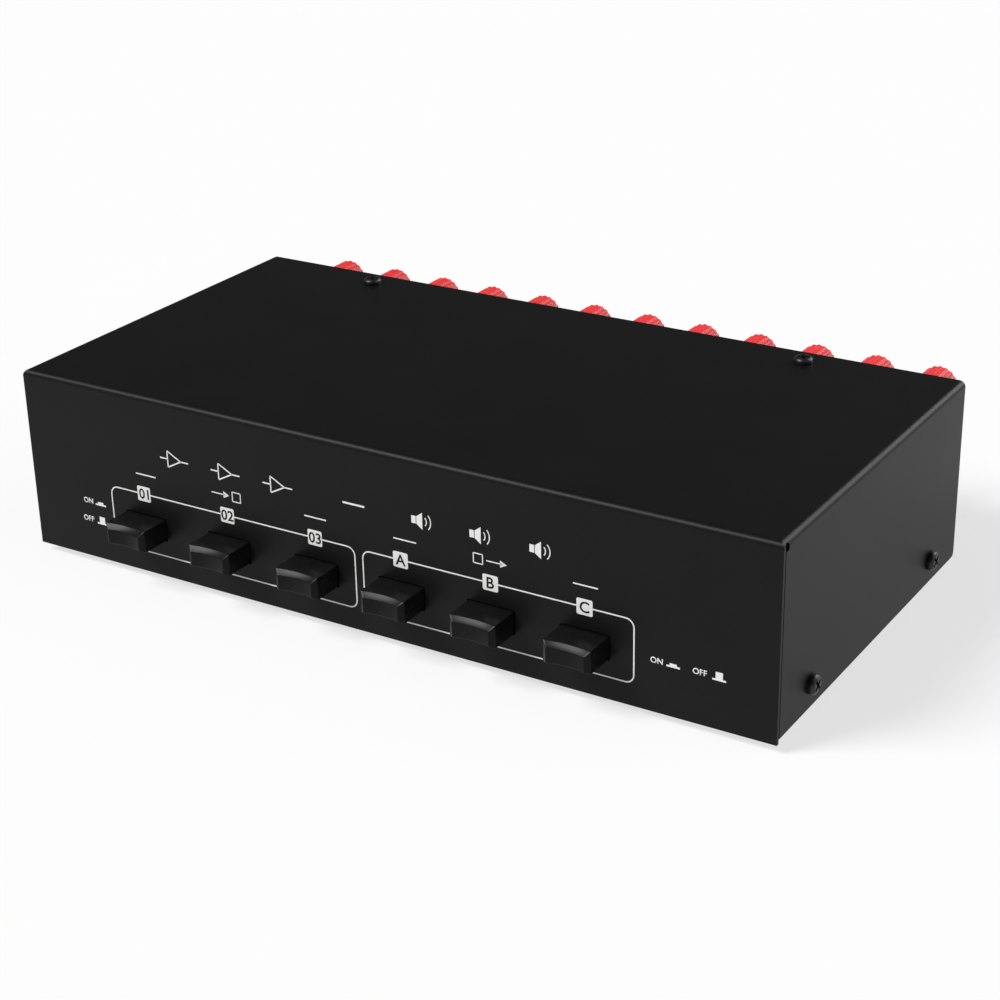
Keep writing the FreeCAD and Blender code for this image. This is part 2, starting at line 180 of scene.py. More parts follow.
def add_node(tree, kind, sockets=None, links=None, **settings):
    """Add one shader node with its settings, socket values and incoming links."""
    node = tree.nodes.new(kind)
    for name, value in settings.items():
        setattr(node, name, value)
    for name, value in (sockets or {}).items():
        node.inputs[name].default_value = value
    for name, source in (links or {}).items():
        tree.links.new(source, node.inputs[name])
    return node


def finish(name, low, high, grain, mottle, rough, depth, **sockets):
    """A material whose colour, roughness and surface vary with the grain of the real finish.

    low and high are the colours that it varies between, grain the width of its surface grain,
    mottle the width of its slow unevenness, rough the least and most roughness, and depth the
    height of the grain. All lengths are metres on the object.

    A pixel of the render is about 0.3 mm on the object, so a mould's texture, a screen's mesh and
    other grain that is finer than that is drawn coarser, to show.
    """
    material = bpy.data.materials.new(name)
    material.use_nodes = True
    tree = material.node_tree
    tree.nodes.clear()
    place = add_node(tree, "ShaderNodeTexCoord").outputs["Object"]
    slow = add_node(
        tree, "ShaderNodeTexNoise", {"Scale": 1 / mottle, "Detail": 3.0}, {"Vector": place}
    ).outputs["Fac"]
    fine = add_node(
        tree, "ShaderNodeTexNoise", {"Scale": 1 / grain, "Detail": 2.0}, {"Vector": place}
    ).outputs["Fac"]
    # A Mix node has an A and a B for each kind of data, so its sockets are given by number.
    both = add_node(tree, "ShaderNodeMix", {0: 0.5}, {2: slow, 3: fine}).outputs[0]
    tint = add_node(
        tree, "ShaderNodeMix", {6: (*low, 1), 7: (*high, 1)}, {0: both}, data_type="RGBA"
    ).outputs[2]
    gloss = add_node(
        tree, "ShaderNodeMapRange", {"To Min": rough[0], "To Max": rough[1]}, {"Value": both}
    ).outputs["Result"]
    bump = add_node(
        tree, "ShaderNodeBump", {"Strength": 1.0, "Distance": depth}, {"Height": fine}
    ).outputs["Normal"]
    shader = add_node(
        tree, "ShaderNodeBsdfPrincipled", sockets,
        {"Base Color": tint, "Roughness": gloss, "Normal": bump},
    )
    add_node(tree, "ShaderNodeOutputMaterial", links={"Surface": shader.outputs["BSDF"]})
    return material


def lighter(rgb, share):
    """A colour moved towards white by a share."""
    return tuple(part + (1 - part) * share for part in rgb)


def powder_coated_steel(look):
    """Semi-matt black powder coat baked on steel: a dull sheen broken by fine orange peel."""
    low = tuple(look.coat)
    return finish(
        "powder_coated_steel", low, lighter(low, 0.006), grain=look.coat_grain, mottle=30 * MM,
        rough=(0.38, 0.46), depth=0.02 * MM, **{"Specular IOR Level": 0.12},
    )


def moulded_abs(look):
    """Black ABS from a lightly textured mould: soft highlights on the bevels."""
    low = tuple(look.button)
    return finish(
        "moulded_abs", low, lighter(low, 0.01), grain=0.3 * MM, mottle=6 * MM,
        rough=(0.22, 0.28), depth=0.006 * MM, **{"Specular IOR Level": 0.08},
    )


def red_polycarbonate(look):
    """Red polycarbonate from a fine-etched mould: clear bright colour with soft highlights."""
    low = tuple(look.red)
    return finish(
        "red_polycarbonate", low, lighter(low, 0.03), grain=0.8 * MM, mottle=4 * MM,
        rough=(0.40, 0.48), depth=0.006 * MM, **{"IOR": 1.58, "Specular IOR Level": 0.18},
    )


def black_polycarbonate(look):
    """Black polycarbonate from a fine-etched mould: deep black with soft highlights."""
    low = tuple(look.black)
    return finish(
        "black_polycarbonate", low, lighter(low, 0.01), grain=0.8 * MM, mottle=4 * MM,
        rough=(0.32, 0.40), depth=0.006 * MM, **{"IOR": 1.58, "Specular IOR Level": 0.3},
    )


def blackened_steel(look):
    """Black passivated screw steel: dark, with a dull metal glint on its dome and recess."""
    low = tuple(look.screw)
    return finish(
        "blackened_steel", low, lighter(low, 0.05), grain=0.3 * MM, mottle=1 * MM,
        rough=(0.34, 0.48), depth=0.008 * MM, Metallic=0.85,
    )


def moulded_rubber(look):
    """Moulded black rubber: matt and faintly uneven."""
    low = tuple(look.foot)
    return finish(
        "moulded_rubber", low, lighter(low, 0.03), grain=0.4 * MM, mottle=4 * MM,
        rough=(0.75, 0.9), depth=0.02 * MM,
    )


def screen_ink(look):
    """White epoxy ink printed through a screen: flat, a little uneven, half matt."""
    high = tuple(look.ink)
    low = tuple(part * 0.93 for part in high)
    return finish(
        "screen_ink", low, high, grain=0.4 * MM, mottle=3 * MM, rough=(0.5, 0.6), depth=0.004 * MM,
    )


def plain_metal(name, code, rough):
    """A plated or machined metal inside the case, with faint tooling unevenness."""
    low = linear(code)
    return finish(
        name, low, lighter(low, 0.1), grain=0.4 * MM, mottle=3 * MM, rough=rough,
        depth=0.005 * MM, Metallic=1.0,
    )


def plain_plastic(name, code, rough):
    """A moulded or laminated plastic inside the case, with faint mottling."""
    low = linear(code)
    return finish(
        name, low, lighter(low, 0.04), grain=0.6 * MM, mottle=5 * MM, rough=rough,
        depth=0.008 * MM,
    )


def inside_finishes():
    """The finishes of the pieces inside the case, by the record's material slot."""
    return {
        "switch_plastic": plain_plastic("glass_filled_nylon", "#1c1c1e", (0.45, 0.55)),
        "plunger_plastic": plain_plastic("natural_acetal", "#e6e4dc", (0.3, 0.4)),
        "board_green": plain_plastic("solder_masked_glass_epoxy", "#16552c", (0.25, 0.4)),
        "cable_sleeve": plain_plastic("grey_pvc_sleeve", "#84868a", (0.4, 0.5)),
        "pin_metal": plain_metal("tinned_brass", "#c9c8c2", (0.25, 0.35)),
        "standoff_metal": plain_metal("turned_brass", "#c8a45a", (0.22, 0.34)),
        "plated_steel": plain_metal("zinc_plated_steel", "#bfc2c6", (0.28, 0.4)),
        "spring_steel": plain_metal("spring_wire", "#a9abad", (0.25, 0.35)),
        "stud_metal": plain_metal("nickel_plated_brass", "#c6c3ba", (0.15, 0.25)),
    }


def link_piece(name, mesh, material, body):
    """Put a mesh in the scene as one piece that rides on a body and takes its slot's finish."""
    piece = bpy.data.objects.new(name, mesh)
    bpy.context.scene.collection.objects.link(piece)
    if material.name not in mesh.materials:
        mesh.materials.append(material)
    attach(piece, body)
    return piece


# On the turned pieces, an edge below this angle is shaded smooth.
TURNED_SMOOTH = math.radians(35)


def mesh_of(name, form, smooth_angle=None):
    """Turn a bmesh into a mesh with its normals outward, smooth below an angle."""
    bmesh.ops.recalc_face_normals(form, faces=form.faces)
    if smooth_angle is not None:
        for face in form.faces:
            face.smooth = True
        for edge in form.edges:
            edge.smooth = len(edge.link_faces) == 2 and edge.calc_face_angle() < smooth_angle
    mesh = bpy.data.meshes.new(name)
    form.to_mesh(mesh)
    form.free()
    return mesh


def turned(form, profile, steps, axis_turn=Matrix.Identity(4)):
    """Add to a bmesh the surface that (radius, height) points give when turned about Z."""
    rings = []
    for radius, height in profile:
        if radius == 0:
            rings.append([form.verts.new(axis_turn @ Vector((0, 0, height)))])
            continue
        angles = [2 * math.pi * step / steps for step in range(steps)]
        rings.append([
            form.verts.new(axis_turn @ Vector((radius * math.cos(a), radius * math.sin(a), height)))
            for a in angles
        ])
    for lower, upper in zip(rings, rings[1:]):
        join_rings(form, lower, upper)


def join_rings(form, lower, upper):
    """Close the band between two rings of vertices, either of which may be one point."""
    count = max(len(lower), len(upper))
    for step in range(count):
        following = (step + 1) % count
        corners = [lower[step % len(lower)], lower[following % len(lower)],
                   upper[following % len(upper)], upper[step % len(upper)]]
        unique = list(dict.fromkeys(corners))
        if len(unique) > 2:
            form.faces.new(unique)


def arc(centre, radius, start, end, steps=6):
    """Points along an arc, from one angle in degrees to another."""
    points = []
    for step in range(steps + 1):
        angle = math.radians(start + (end - start) * step / steps)
        points.append((centre[0] + radius * math.cos(angle), centre[1] + radius * math.sin(angle)))
    return points


def panel_point(across, up, lift):
    """A point on the front panel, from its left and lower edges, lifted off it."""
    return Vector((COVER_LOW.x + across, COVER_LOW.y - lift, COVER_LOW.z + up))


def prism(form, outline, low_lift, high_lift):
    """Add to a bmesh a thin flat solid of one outline on the front panel."""
    back = [form.verts.new(panel_point(across, up, low_lift)) for across, up in outline]
    front = [form.verts.new(panel_point(across, up, high_lift)) for across, up in outline]
    form.faces.new(back)
    form.faces.new(front)
    join_rings(form, back, front)


def stroke(points, width):
    """The outline of an open line of one width through the points."""
    longest_mitre = 2
    left, right = [], []
    for number, point in enumerate(points):
        before = Vector(points[max(number - 1, 0)])
        after = Vector(points[min(number + 1, len(points) - 1)])
        here = Vector(point)
        run_in = (here - before).normalized() if number else (after - here).normalized()
        run_out = (after - here).normalized() if number < len(points) - 1 else run_in
        middle = (run_in + run_out).normalized()
        across = Vector((-middle.y, middle.x)) * (width / 2 / max(middle.dot(run_in), 1 / longest_mitre))
        left.append(tuple(here + across))
        right.append(tuple(here - across))
    return left + right[::-1]


def rounded_box(centre, width, height, radius):
    """The outline of a rectangle with round corners."""
    half_w, half_h = width / 2 - radius, height / 2 - radius
    outline = []
    for side_x, side_y, start in ((1, 1, 0), (-1, 1, 90), (-1, -1, 180), (1, -1, 270)):
        corner = (centre[0] + side_x * half_w, centre[1] + side_y * half_h)
        outline += arc(corner, radius, start, start + 90)
    return outline


def box_outline(left, foot, width, height):
    """The outline of a rectangle, from its lower left corner."""
    right, head = left + width, foot + height
    return [(left, foot), (right, foot), (right, head), (left, head)]


def print_shape(form, marks, outline):
    """Add to a bmesh one outline filled with ink."""
    prism(form, outline, 0, marks.thickness)


def print_line(form, marks, points, width):
    """Add to a bmesh a line of ink through the points."""
    print_shape(form, marks, stroke(points, width))


def print_sides(form, marks, corners, width):
    """Add to a bmesh the sides of a shape in ink, each side as its own line."""
    for one, two in zip(corners, corners[1:] + corners[:1]):
        print_line(form, marks, [one, two], width)


def button_middles():
    """How far each button's middle is from the left edge of the front."""
    middles = []
    for name in BUTTONS:
        low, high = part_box(name)
        middles.append((low.x + high.x) / 2 - COVER_LOW.x)
    return middles


def broken_frame(form, marks, start, end, badges):
    """A round-cornered frame whose upper line stops at each badge."""
    low, high, corner = marks.frame_low, marks.frame_high, marks.frame_corner
    gap = marks.badge_width / 2
    path = [(badges[0] - gap, high)]
    path += arc((start + corner, high - corner), corner, 90, 180)
    path += arc((start + corner, low + corner), corner, 180, 270)
    path += arc((end - corner, low + corner), corner, 270, 360)
    path += arc((end - corner, high - corner), corner, 0, 90)
    path.append((badges[-1] + gap, high))
    lines = [path]
    lines += [[(one + gap, high), (two - gap, high)] for one, two in zip(badges, badges[1:])]
    for line in lines:
        print_line(form, marks, line, marks.line)


def lettering(text, height, across, up, lift, thickness, weight):
    """A mesh of plain letters or figures on the front panel, centred on a place.

    weight is how far their outlines are moved outward, as a share of the font's size. From 0.02
    up, the fill of the letter B has faulty faces.
    """
    curve = bpy.data.curves.new("lettering", "FONT")
    curve.body = text
    curve.resolution_u = 4
    curve.offset = weight
    holder = bpy.data.objects.new("lettering", curve)
    bpy.context.scene.collection.objects.link(holder)
    bpy.context.view_layer.update()
    mesh = bpy.data.meshes.new_from_object(holder)
    bpy.data.objects.remove(holder)
    form = bmesh.new()
    form.from_mesh(mesh)
    bpy.data.meshes.remove(mesh)
    bmesh.ops.remove_doubles(form, verts=form.verts, dist=1e-5)
    xs = [vertex.co.x for vertex in form.verts]
    ys = [vertex.co.y for vertex in form.verts]
    scale = height / (max(ys) - min(ys))
    middle_x, middle_y = (max(xs) + min(xs)) / 2, (max(ys) + min(ys)) / 2
    for vertex in form.verts:
        vertex.co = panel_point(
            across + (vertex.co.x - middle_x) * scale, up + (vertex.co.y - middle_y) * scale, lift
        )
    solid = bmesh.ops.extrude_face_region(form, geom=form.faces[:])
    raised = [item for item in solid["geom"] if isinstance(item, bmesh.types.BMVert)]
    bmesh.ops.translate(form, vec=(0, -thickness, 0), verts=raised)
    return form


def add_form(form, extra):
    """Add one bmesh to another."""
    mesh = bpy.data.meshes.new("part")
    extra.to_mesh(mesh)
    extra.free()
    form.from_mesh(mesh)
    bpy.data.meshes.remove(mesh)


# Width of the signs' thinner and bolder lines, as a share of the line width.
THIN_LINE = 0.8
BOLD_LINE = 1.4


def pushed_sign(form, marks, across, up, raised):
    """The sign of a button that is out, a block on a line, or in, a low block on a line."""
    width, bar = 3.8 * MM, 0.5 * MM
    block_width, out_height, in_height = 2.0 * MM, 1.9 * MM, 0.6 * MM
    block_height = out_height if raised else in_height
    left = across + (width - block_width) / 2
    print_shape(form, marks, box_outline(across, up, width, bar))
    print_shape(form, marks, box_outline(left, up + bar, block_width, block_height))


def amplifier_sign(form, marks, across, up, height):
    """An amplifier's sign: a triangle in line, pointing to the right, between two leads."""
    width, lead = height * 0.95, height * 0.55
    level, tip = up + height / 2, across + width
    print_line(form, marks, [(across - lead, level), (across, level)], marks.line)
    print_line(form, marks, [(tip, level), (tip + lead, level)], marks.line)
    print_sides(form, marks, [(across, up), (tip, level), (across, up + height)], marks.line)


def speaker_sign(form, marks, across, up, height):
    """A loudspeaker's sign: a small box, a flared horn and two sound waves."""
    box_width, box_height, horn = height * 0.28, height * 0.44, height * 0.42
    gap, wave_angle = marks.line * 0.6, 42
    level, throat = up + height / 2, across + box_width
    low, high = level - box_height / 2, level + box_height / 2
    print_shape(form, marks, box_outline(across, low, box_width, box_height))
    print_shape(form, marks, [(throat + gap, low), (throat + horn, up),
                              (throat + horn, up + height), (throat + gap, high)])
    for radius in (height * 0.35, height * 0.62):
        wave = arc((throat + horn * 0.8, level), radius, -wave_angle, wave_angle, 8)
        print_line(form, marks, wave, marks.line * THIN_LINE)


def arrow_sign(form, marks, across, up, height, inward):
    """A signal arrow into or out of a socket square."""
    run, gap = height * 2.2, height * 0.4
    shaft, head_length, head_half = run * 0.8, height * 0.7, height * 0.36
    square_left = across + run + gap if inward else across
    start = across if inward else across + height + gap
    tip, level, line = start + run, up + height / 2, marks.line * THIN_LINE
    print_sides(form, marks, box_outline(square_left, up, height, height), line)
    print_line(form, marks, [(start, level), (start + shaft, level)], line)
    print_shape(form, marks, [(tip - head_length, level - head_half), (tip, level),
                              (tip - head_length, level + head_half)])


class SELECTOR_OT_case(Operator):
    """Coat the folded cover and the chassis"""

    bl_idname = "selector.case"
    bl_label = "Case"

    def execute(self, context):
        material = powder_coated_steel(context.scene.selector_finish)
        for name in ("top_cover", "base_chassis"):
            dress(name, material)
        return {"FINISHED"}


def dress(name, material):
    """Give a CAD piece its material."""
    slots = frame["nodes"][name].data.materials
    slots.clear()
    slots.append(material)


class SELECTOR_OT_screws(Operator):
    """Make the cross-recessed case screws"""

    bl_idname = "selector.screws"
    bl_label = "Case screws"

    def execute(self, context):
        material = blackened_steel(context.scene.selector_finish)
        form = bmesh.new()
        for place, turn in screw_places():
            add_form(form, cross_head_screw(Matrix.Translation(place) @ turn))
        piece = link_piece("case_screws", mesh_of("case_screws", form, TURNED_SMOOTH), material,
                           "case")
        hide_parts("cover_screws")
        return {"FINISHED"}


def screw_places():
    """Where each case screw's head stands, and how it is turned.

    The screws in the sides are spun by their places, in radians for each metre.
    """
    top_zone, top_spin, side_spin = 10 * MM, 0.5, 20
    places = []
    for group in loose_parts(frame["nodes"]["cover_screws"].data):
        centre = sum(group, Vector()) / len(group)
        x, y, z = (middle(group, axis) for axis in range(3))
        if centre.z > COVER_HIGH.z - top_zone:
            places.append((Vector((x, y, COVER_HIGH.z)), Matrix.Rotation(top_spin, 4, "Z")))
        else:
            side = 1 if centre.x > 0 else -1
            face_x = COVER_HIGH.x if side > 0 else COVER_LOW.x
            lean = Matrix.Rotation(side * math.pi / 2, 4, "Y")
            places.append((Vector((face_x, y, z)), lean @ Matrix.Rotation(centre.y * side_spin, 4, "Z")))
    return places


def middle(points, axis):
    """The middle of a group of points along one axis."""
    values = [point[axis] for point in points]
    return (min(values) + max(values)) / 2


def loose_parts(mesh):
    """The separate solids of a mesh, each as its list of points."""
    form = bmesh.new()
    form.from_mesh(mesh)
    bmesh.ops.remove_doubles(form, verts=form.verts, dist=1e-6)
    left = set(form.verts)
    groups = []
    while left:
        stack = [left.pop()]
        group = list(stack)
        while stack:
            vertex = stack.pop()
            for edge in vertex.link_edges:
                other = edge.other_vert(vertex)
                if other in left:
                    left.remove(other)
                    group.append(other)
                    stack.append(other)
        groups.append([vertex.co.copy() for vertex in group])
    form.free()
    return groups


def cross_head_screw(turn):
    """A pan head with a cross recess, on a plain shank."""
    shank_radius, shank_length, tip_chamfer = 1.5 * MM, 5.0 * MM, 0.3 * MM
    head_radius, head_height, seat_chamfer, dome = 2.8 * MM, 1.85 * MM, 0.1 * MM, 1.15 * MM
    profile = [
        (0, -shank_length), (shank_radius - tip_chamfer, -shank_length),
        (shank_radius, tip_chamfer - shank_length), (shank_radius, 0),
        (head_radius - seat_chamfer, 0), (head_radius, seat_chamfer),
    ]
    profile += arc((head_radius - dome, head_height - dome), dome, 0, 90, 8)
    profile.append((0, head_height))
    head = bmesh.new()
    turned(head, profile, 48)
    cut = cut_mesh(mesh_of("head", head), mesh_of("recess", recess_tool(head_height)))
    cut.transform(turn)
    form = bmesh.new()
    form.from_mesh(cut)
    bpy.data.meshes.remove(cut)
    return form


def recess_tool(head_height):
    """The tapered cross that cuts a screw head's recess, from just above the head."""
    reach, half_width, depth, above = 1.7 * MM, 0.42 * MM, 1.2 * MM, 0.2 * MM
    mouth_share, floor_share_x, floor_share_y = 1.15, 0.55, 0.75
    outline = []
    for quarter in range(4):
        spin = Matrix.Rotation(quarter * math.pi / 2, 2)
        for corner in ((reach, -half_width), (reach, half_width), (half_width, half_width)):
            outline.append(spin @ Vector(corner))
    form = bmesh.new()
    top = [form.verts.new((x * mouth_share, y * mouth_share, head_height + above)) for x, y in outline]
    low = [form.verts.new((x * floor_share_x, y * floor_share_y, head_height - depth)) for x, y in outline]
    form.faces.new(top)
    form.faces.new(low)
    join_rings(form, low, top)
    return form


def cut_mesh(body, tool):
    """One mesh with another cut out of it. Both are used up."""
    body_piece = bpy.data.objects.new("body", body)
    tool_piece = bpy.data.objects.new("tool", tool)
    for piece in (body_piece, tool_piece):
        bpy.context.scene.collection.objects.link(piece)
    modifier = body_piece.modifiers.new("cut", "BOOLEAN")
    modifier.operation = "DIFFERENCE"
    modifier.solver = "EXACT"
    modifier.object = tool_piece
    bpy.context.view_layer.update()
    graph = bpy.context.evaluated_depsgraph_get()
    result = bpy.data.meshes.new_from_object(body_piece.evaluated_get(graph))
    for piece in (body_piece, tool_piece):
        bpy.data.objects.remove(piece)
    bpy.data.meshes.remove(body)
    bpy.data.meshes.remove(tool)
    return result


class SELECTOR_OT_feet(Operator):
    """Make the rubber feet"""

    bl_idname = "selector.feet"
    bl_label = "Feet"

    def execute(self, context):
        material = moulded_rubber(context.scene.selector_finish)
        floor_round, top_chamfer = 0.5 * MM, 0.2 * MM
        near_top, near_floor = 1.0 * MM, 0.1 * MM
        form = bmesh.new()
        for group in loose_parts(frame["nodes"]["rubber_feet"].data):
            top = max(point.z for point in group)
            wide = max(point.x for point in group if point.z > top - near_top) - middle(group, 0)
            narrow = max(point.x for point in group if point.z < near_floor) - middle(group, 0)
            profile = [(0, 0)] + arc((narrow - floor_round, floor_round), floor_round, -90, 0)
            profile += [(wide, top - top_chamfer), (wide - top_chamfer, top), (0, top)]
            place = Matrix.Translation((middle(group, 0), middle(group, 1), 0))
            turned(form, profile, 64, place)
        piece = link_piece("stick_on_feet", mesh_of("stick_on_feet", form, TURNED_SMOOTH), material,
                           "case")
        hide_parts("rubber_feet")
        return {"FINISHED"}


class SELECTOR_OT_buttons(Operator):
    """Make the six push buttons with their dished fronts"""

    bl_idname = "selector.buttons"
    bl_label = "Push buttons"

    def execute(self, context):
        scene = context.scene
        material = moulded_abs(scene.selector_finish)
        for name in BUTTONS:
            number = name.rsplit("_", 1)[1]
            mesh = dished_button(scene.selector_buttons, *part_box(name))
            piece = link_piece(f"push_button_{number}", mesh, material,
                               f"button_{number}")
            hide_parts(name)
        return {"FINISHED"}


def dished_button(sizes, low, high):
    """A button with bevels of even width round a hollow face, in the box of its CAD piece."""
    columns, bevel_above, smooth_below = 20, math.radians(20), math.radians(30)
    centre_x, half = (low.x + high.x) / 2, (high.x - low.x) / 2
    face_half = half - sizes.bevel_side
    form = bmesh.new()
    rows = []
    for column in range(columns + 1):
        share = 2 * column / columns - 1
        face_y = low.y + sizes.dish * (1 - share * share)
        shoulder_y = face_y + sizes.bevel_depth
        face_x, shoulder_x = centre_x + share * face_half, centre_x + share * half
        rows.append([form.verts.new(point) for point in (
            (shoulder_x, high.y, low.z),
            (shoulder_x, shoulder_y, low.z),
            (face_x, face_y, low.z + sizes.bevel_bottom),
            (face_x, face_y, high.z - sizes.bevel_top),
            (shoulder_x, shoulder_y, high.z),
            (shoulder_x, high.y, high.z),
        )])
    for one, two in zip(rows, rows[1:]):
        join_rings(form, one, two)
    for back_low, low_shoulder, low_face, high_face, high_shoulder, back_high in (rows[0], rows[-1]):
        form.faces.new((back_low, low_shoulder, high_shoulder, back_high))
        form.faces.new((low_shoulder, low_face, high_face, high_shoulder))
    bmesh.ops.recalc_face_normals(form, faces=form.faces)
    sharp = [edge for edge in form.edges if edge.calc_face_angle(0) > bevel_above]
    bmesh.ops.bevel(form, geom=sharp, offset=sizes.edge, segments=3, profile=0.5, affect="EDGES",
                    clamp_overlap=True)
    return mesh_of("push_button", form, smooth_below)


# Places on the front in millimetres, from its left edge and then from its lower edge. The last
# value of a switch sign says whether its button is out.
RULE_STARTS = (39.7, 98.9, 128.0, 182.7)
SWITCH_WORDS = ((20.4, 18.05, "ON"), (19.9, 12.25, "OFF"), (206.65, 14.9, "ON"), (218.7, 14.9, "OFF"))
SWITCH_SIGNS = ((23.1, 17.2, False), (23.1, 11.2, True), (209.4, 14.1, False), (222.1, 13.8, True))
FIRST_AMPLIFIER = 52
FIRST_SPEAKER = 134
DASH_START = 112
DASH_END = 119
ARROW_IN = 67
ARROW_OUT = 153
# How far the outlines of figures and words are moved outward, as a share of the font's size.
FIGURE_WEIGHT = 0.015
WORD_WEIGHT = 0.02


class SELECTOR_OT_print(Operator):
    """Print the frames, badges, signs and words on the front"""

    bl_idname = "selector.print"
    bl_label = "Front print"

    def execute(self, context):
        scene = context.scene
        marks = scene.selector_print
        ink = screen_ink(scene.selector_finish)
        middles = button_middles()
        amplifiers, speakers = middles[:3], middles[3:]

        form = bmesh.new()
        broken_frame(form, marks, marks.left_start, marks.left_end, amplifiers)
        broken_frame(form, marks, marks.right_start, marks.right_end, speakers)
        for start in RULE_STARTS:
            left, right = start * MM, start * MM + marks.rule_length
            print_line(form, marks, [(left, marks.rule_height), (right, marks.rule_height)], marks.line)
        link_print("printed_lines", form, ink)

        form = bmesh.new()
        for across in middles:
            centre = (across, marks.frame_high)
            outline = rounded_box(centre, marks.badge_width, marks.badge_height, marks.badge_corner)
            print_shape(form, marks, outline)
        link_print("printed_badges", form, ink)

        form = bmesh.new()
        for across, text in zip(middles, ("01", "02", "03", "A", "B", "C")):
            add_form(form, lettering(text, marks.figure_height, across, marks.frame_high,
                                     marks.thickness, marks.thickness / 2, FIGURE_WEIGHT))
        # A figure is a gap in its badge's ink, drawn as a piece in the coat of the case.
        link_print("printed_figures", form, bpy.data.materials["powder_coated_steel"])

        form = bmesh.new()
        for across, up, text in SWITCH_WORDS:
            add_form(form, lettering(text, marks.switch_word, across * MM, up * MM,
                                     0, marks.thickness, WORD_WEIGHT))
        for across, up, raised in SWITCH_SIGNS:
            pushed_sign(form, marks, across * MM, up * MM, raised)
        link_print("printed_switch_signs", form, ink)

        form = bmesh.new()
        foot, height = marks.symbol_foot, marks.symbol_height
        for number in range(len(amplifiers)):
            shift = number * marks.symbol_pitch
            amplifier_sign(form, marks, FIRST_AMPLIFIER * MM + shift, foot, height)
            speaker_sign(form, marks, FIRST_SPEAKER * MM + shift, foot, height)
        dash = [(DASH_START * MM, foot + height / 2), (DASH_END * MM, foot + height / 2)]
        print_line(form, marks, dash, marks.line * BOLD_LINE)
        arrow_sign(form, marks, ARROW_IN * MM, marks.arrow_foot, marks.arrow_height, True)
        arrow_sign(form, marks, ARROW_OUT * MM, marks.arrow_foot, marks.arrow_height, False)
        link_print("printed_symbols", form, ink)
        return {"FINISHED"}


def link_print(name, form, material):
    """Put one kind of print in the scene, as a piece on the case."""
    link_piece(name, mesh_of(name, form), material, "case")


class SELECTOR_OT_posts(Operator):
    """Make the ribbed binding-post caps and their collars"""

    bl_idname = "selector.posts"
    bl_label = "Binding posts"

    def execute(self, context):
        scene = context.scene
        sizes = scene.selector_posts
        finishes = {
            "red": red_polycarbonate(scene.selector_finish),
            "black": black_polycarbonate(scene.selector_finish),
        }
        low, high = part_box(POST_CAPS[0])
        for colour_name, material in finishes.items():
            cap = ribbed_cap(sizes, (high.z - low.z) / 2, high.y - low.y)
            for name in POST_CAPS:
                if f"_{colour_name}_" not in name:
                    continue
                number = name.rsplit("_", 1)[1]
                cap_low, cap_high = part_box(name)
                piece = bpy.data.objects.new(f"ribbed_cap_{colour_name}_{number}", cap)
                scene.collection.objects.link(piece)
                piece.location = ((cap_low.x + cap_high.x) / 2, cap_low.y, (cap_low.z + cap_high.z) / 2)
                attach(piece, f"cap_{colour_name}_{number}")
                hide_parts(name)
            cap.materials.append(material)
            collars = f"terminal_collars_{colour_name}"
            form = bmesh.new()
            for group in loose_parts(frame["nodes"][collars].data):
                add_collar(form, sizes, group)
            piece = link_piece(f"fixed_collars_{colour_name}", mesh_of(collars, form, TURNED_SMOOTH),
                               material, "case")
            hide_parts(collars)
        return {"FINISHED"}


def add_collar(form, sizes, group):
    """A chamfered collar on the rear panel, with the space of its post left open."""
    reach = max(point.z for point in group) - middle(group, 2)
    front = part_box("base_chassis")[1].y
    rear = max(point.y for point in group)
    bore = 2.05 * MM
    chamfer = sizes.collar_chamfer
    profile = [(bore, front), (reach, front), (reach, rear - chamfer), (reach - chamfer, rear),
               (bore, rear), (bore, front)]
    place = Matrix.Translation((middle(group, 0), 0, middle(group, 2)))
    turned(form, profile, 64, place @ Matrix.Rotation(-math.pi / 2, 4, "X"))


def ribbed_cap(sizes, radius, reach):
    """A closed cap along +Y from its seat: plain skirt, round grip ribs, rounded rim and a plug."""
    steps_per_rib = 6
    around = sizes.ribs * steps_per_rib
    angles = [2 * math.pi * step / around for step in range(around)]
    rim, groove, plug = sizes.rim, sizes.plug_groove, sizes.plug_radius
    seat_chamfer, run_out, plug_drop = 0.25 * MM, 0.8 * MM, groove / 6
    # Each station is a distance from the seat, a radius, and the share of the full rib height.
    stations = [(0, radius - seat_chamfer, 0), (seat_chamfer, radius, 0), (sizes.skirt, radius, 0),
                (sizes.skirt + run_out, radius, 1), (reach - rim, radius, 1)]
    for across, along in arc((radius - rim, reach - rim), rim, 0, 90)[1:]:
        stations.append((along, across, 1))
    stations += [(reach, plug + groove, 0), (reach - groove, plug + groove, 0),
                 (reach - groove, plug, 0), (reach - plug_drop, plug, 0)]
    form = bmesh.new()
    rings = []
    for along, ring_radius, share in stations:
        ring = []
        for angle in angles:
            hollow = (1 + math.cos(sizes.ribs * angle)) / 2
            reach_out = ring_radius - sizes.rib_height * share * hollow
            ring.append(form.verts.new((reach_out * math.cos(angle), along, reach_out * math.sin(angle))))
        rings.append(ring)
    for one, two in zip(rings, rings[1:]):
        join_rings(form, one, two)
    form.faces.new(rings[-1])
    form.faces.new(rings[0])
    return mesh_of("ribbed_cap", form, math.radians(40))


class SELECTOR_OT_inside(Operator):
    """Finish the pieces inside the case"""

    bl_idname = "selector.inside"
    bl_label = "Inside pieces"

    def execute(self, context):
        finishes = inside_finishes()
        for part in frame["record"]["subparts"]:
            material = finishes.get(part["material_slot"])
            if material is not None:
                dress(part["node"], material)
        return {"FINISHED"}


